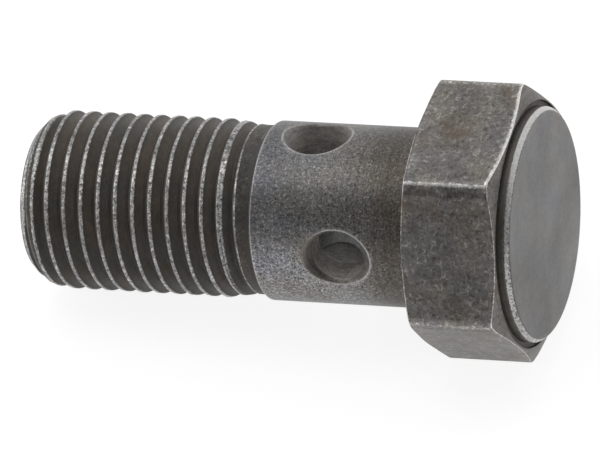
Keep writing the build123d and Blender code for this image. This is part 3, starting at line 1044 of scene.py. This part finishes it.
def bolt_materials(finish):
    """Every finish on the bolt, in the order of the mesh's material slots."""
    groups = {"position": position_group(), "mottle": mottle_group(), "worn": worn_group(),
              "turning": turning_group()}
    crown, countersink = (0.160, 0.150, 0.138), tuple(0.38 * part for part in finish.drilling)
    steels = {
        "shank_steel": (finish.shank, dict(
            rough=0.45, marks=0.17, mark_size=14.0, near_head=1.0, underside=0.40, edge=0.8, ragged=0.9,
            wear_size=9.0, Grain_Size=13.0, Grain=0.9, Blotch_Size=0.4, Blotch=0.16, Specks=0.9, Pits=0.2,
            Hue=0.35, Stain_Amount=0.2, Stain_Size=0.25)),
        "hexagon_steel": (finish.hexagon, dict(
            rough=0.42, marks=0.0, edge=1.25, ragged=0.9, soft=1.0, Grain_Size=7.0, Grain=0.45, Blotch_Size=0.8,
            Blotch=0.24, Specks=0.4, Pits=0.3, Etching=0.9, Hue=0.35, Stain_Amount=0.6, Stain_Size=0.35)),
        "crown_steel": (crown, dict(
            rough=0.42, marks=0.25, edge=1.2, Grain=0.5, Specks=0.4, Pits=0.4, Stain_Amount=0.5, Stain_Size=0.6)),
        "recess_steel": (finish.wall, dict(
            rough=0.6, worn=0.0, sunk=0.3, marks=0.3, mark_size=6.0, Grain=0.3, Stain_Amount=0.35,
            Stain_Size=0.3)),
        "rim_steel": (finish.disc, dict(
            rough=0.4, edge=0.82, ragged=1.3, wear_size=8.0, soft=0.3, Grain=0.9, Specks=0.6, Pits=0.4,
            Stain_Amount=0.1)),
        "disc_steel": (finish.disc, dict(
            rough=0.38, marks=0.04, mark_size=5.0, bump=0.06, edge=0.75, ragged=0.9, soft=0.9, Grain=0.08,
            Blotch_Size=0.25, Blotch=0.4, Specks=0.03, Pits=0.05, Hue=0.55, Stain_Amount=0.2, Stain_Size=0.3)),
        "countersink_steel": (countersink, dict(
            rough=0.45, marks=0.2, mark_size=1.0, deep_size=12.0, edge=0.55, ragged=1.3, wear_size=9.0, Grain=0.5,
            Stain_Amount=0.3)),
        "drilling_steel": (finish.drilling, dict(
            rough=0.5, metallic=0.2, marks=0.25, mark_size=1.0, deep_size=10.0, worn=0.0, Grain=0.4, Blotch=0.3,
            Stain_Amount=0.2)),
        "bore_steel": (finish.bore, dict(rough=0.5, marks=0.2, worn=0.0, Grain=0.25)),
        "end_steel": (finish.hexagon, dict(rough=0.45, marks=0.2, worn=0.0, Grain=0.5)),
    }
    return [thread_steel("thread_steel", groups, finish),
            *(steel(name, groups, finish, base, **amounts) for name, (base, amounts) in steels.items())]


# ---- operators -----------------------------------------------------------------------------------

class OBJECT_OT_banjo_bolt(bpy.types.Operator):
    """Build the dressed bolt, which stands for the plain one"""
    bl_idname = "object.banjo_bolt_build"
    bl_label = "Build Banjo Bolt"

    def execute(self, context):
        scene = context.scene
        sizes = (scene.banjo_bolt_shank, scene.banjo_bolt_thread, scene.banjo_bolt_passages, scene.banjo_bolt_head)
        materials = bolt_materials(scene.banjo_bolt_finish)
        made = bpy.data.objects.new("banjo_bolt_dressed", bolt_mesh(sizes, materials))
        scene.collection.objects.link(made)
        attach(made, "root")
        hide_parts(NODE)
        return {"FINISHED"}


class SCENE_OT_banjo_bolt_stage(bpy.types.Operator):
    """Set up the pale floor, the white surroundings, the soft lights and the camera"""
    bl_idname = "scene.banjo_bolt_stage"
    bl_label = "Set Up Stage"

    def execute(self, context):
        scene = context.scene
        stage = scene.banjo_bolt_stage
        self.floor(scene, stage)
        self.surroundings(scene, stage)
        self.lights(scene, stage)
        self.camera(scene, stage)
        scene.view_settings.view_transform = "Standard"
        return {"FINISHED"}

    def floor(self, scene, stage):
        """A wide flat square under the bolt's lowest point. The camera and reflections see it white with a
        faint shadow, and for all other light it is a plain pale floor."""
        low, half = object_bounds()[0].z, 3.0
        mesh = bpy.data.meshes.new("floor")
        mesh.from_pydata([(-half, -half, low), (half, -half, low), (half, half, low), (-half, half, low)], [],
                         [(0, 1, 2, 3)])
        material = bpy.data.materials.new("pale_floor")
        w = cleared(material)
        lit = w.first("ShaderNodeBsdfDiffuse", stage.floor)
        faint = w.first("ShaderNodeBsdfDiffuse", [stage.shadow * part for part in stage.floor])
        given_back = 0.42  # what the faint part adds where there is no shadow, as a share of shadow
        glow = w.first("ShaderNodeEmission", stage.backdrop, 1.0 - given_back * stage.shadow)
        path = w.outputs(w.node("ShaderNodeLightPath"))
        seen = w.math("MAXIMUM", path["Is Camera Ray"],
                      w.math("MAXIMUM", path["Is Glossy Ray"], path["Is Transmission Ray"]))
        blend = w.first("ShaderNodeMixShader", seen, lit, w.first("ShaderNodeAddShader", faint, glow))
        w.node("ShaderNodeOutputMaterial", blend)
        mesh.materials.append(material)
        floor = bpy.data.objects.new("floor", mesh)
        scene.collection.objects.link(floor)
        floor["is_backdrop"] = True

    def surroundings(self, scene, stage):
        """White where the camera looks past the floor. Elsewhere a white tent, which is open and dark
        towards the camera's place."""
        world = bpy.data.worlds.new("white_surroundings")
        w = cleared(world)
        place = self.directions(stage)[0]
        looking = w.outputs(w.node("ShaderNodeTexCoord"))["Generated"]
        towards = w.node("ShaderNodeVectorMath", looking, tuple(place / np.linalg.norm(place)), operation="DOT_PRODUCT")
        dark_share = 0.3  # of the opening's half angle, that is darkest
        strength = w.smooth(w.outputs(towards)["Value"], math.cos(stage.opening), math.cos(stage.opening * dark_share),
                            stage.ambient, stage.opening_light)
        blend = w.first("ShaderNodeMixShader", w.outputs(w.node("ShaderNodeLightPath"))["Is Camera Ray"],
                        w.first("ShaderNodeBackground", stage.backdrop, strength),
                        w.first("ShaderNodeBackground", stage.backdrop, 1.0))
        w.node("ShaderNodeOutputWorld", blend)
        scene.world = world

    def directions(self, stage):
        """The camera's place, and unit vectors into the view, to its right and up, for a camera that
        looks at the bearing face's centre."""
        _, a, b, c = bolt_axes()
        towards = math.cos(stage.around) * b + math.sin(stage.around) * c
        place = stage.distance * (math.cos(stage.off_axis) * a + math.sin(stage.off_axis) * towards)
        into = -place / np.linalg.norm(place)
        right = np.cross(into, np.cross(towards, a))
        right /= np.linalg.norm(right)
        up = np.cross(right, into)
        turn = stage.roll
        return (place, into, math.cos(turn) * right + math.sin(turn) * up,
                -math.sin(turn) * right + math.cos(turn) * up)

    def camera(self, scene, stage):
        """A long lens, aimed beside the bearing face so that the whole bolt stands in the view."""
        place, into, right, up = self.directions(stage)
        aim = -right * stage.aside - up * stage.above
        into = (aim - place) / np.linalg.norm(aim - place)
        right = right - (right @ into) * into
        right /= np.linalg.norm(right)
        up = np.cross(right, into)
        data = bpy.data.cameras.new("camera")
        data.lens, data.sensor_width, data.sensor_fit = stage.lens, 36.0, "HORIZONTAL"
        data.clip_start, data.clip_end = 0.01, 20.0
        camera = bpy.data.objects.new("camera", data)
        camera.matrix_world = Matrix([[right[i], up[i], -into[i], place[i]] for i in range(3)] + [[0, 0, 0, 1]])
        scene.collection.objects.link(camera)
        scene.camera = camera

    def lights(self, scene, stage):
        """A large soft panel above the view."""
        _, into, right, up = self.directions(stage)
        distance, wide = 0.75, 0.4
        where = -0.27 * right + 0.67 * up - 0.58 * into
        where = where / np.linalg.norm(where) * distance
        data = bpy.data.lights.new("key_light", "AREA")
        data.shape, data.size, data.energy = "SQUARE", wide, stage.key
        lamp = bpy.data.objects.new("key_light", data)
        lamp.location = where
        lamp.rotation_euler = Vector(-where).to_track_quat("-Z", "Y").to_euler()
        scene.collection.objects.link(lamp)


class VIEW3D_PT_banjo_bolt(bpy.types.Panel):
    """Sidebar panel that lists the sizes, colours and operators"""
    bl_idname = "VIEW3D_PT_banjo_bolt"
    bl_label = "Banjo Bolt"
    bl_space_type = "VIEW_3D"
    bl_region_type = "UI"
    bl_category = "Banjo Bolt"

    def draw(self, context):
        layout = self.layout
        for name in GROUPS:
            box = layout.box()
            group = getattr(context.scene, name)
            box.label(text=name.replace("banjo_bolt_", "").title())
            for key in group.bl_rna.properties.keys():
                if key not in ("rna_type", "name"):
                    box.prop(group, key)
        layout.operator(OBJECT_OT_banjo_bolt.bl_idname)
        layout.operator(SCENE_OT_banjo_bolt_stage.bl_idname)


GROUPS = {
    "banjo_bolt_shank": BanjoBoltShank,
    "banjo_bolt_thread": BanjoBoltThread,
    "banjo_bolt_passages": BanjoBoltPassages,
    "banjo_bolt_head": BanjoBoltHead,
    "banjo_bolt_finish": BanjoBoltFinish,
    "banjo_bolt_stage": BanjoBoltStage,
}
CLASSES = (*GROUPS.values(), OBJECT_OT_banjo_bolt, SCENE_OT_banjo_bolt_stage, VIEW3D_PT_banjo_bolt)


def register():
    """Adds the classes and their settings on the scene."""
    for made in CLASSES:
        bpy.utils.register_class(made)
    for name, group in GROUPS.items():
        setattr(bpy.types.Scene, name, PointerProperty(type=group))


def unregister():
    """Takes them away again."""
    for name in GROUPS:
        delattr(bpy.types.Scene, name)
    for made in reversed(CLASSES):
        bpy.utils.unregister_class(made)


def main():
    register()
    bpy.ops.object.banjo_bolt_build()
    bpy.ops.scene.banjo_bolt_stage()


if __name__ == "__main__":
    main()
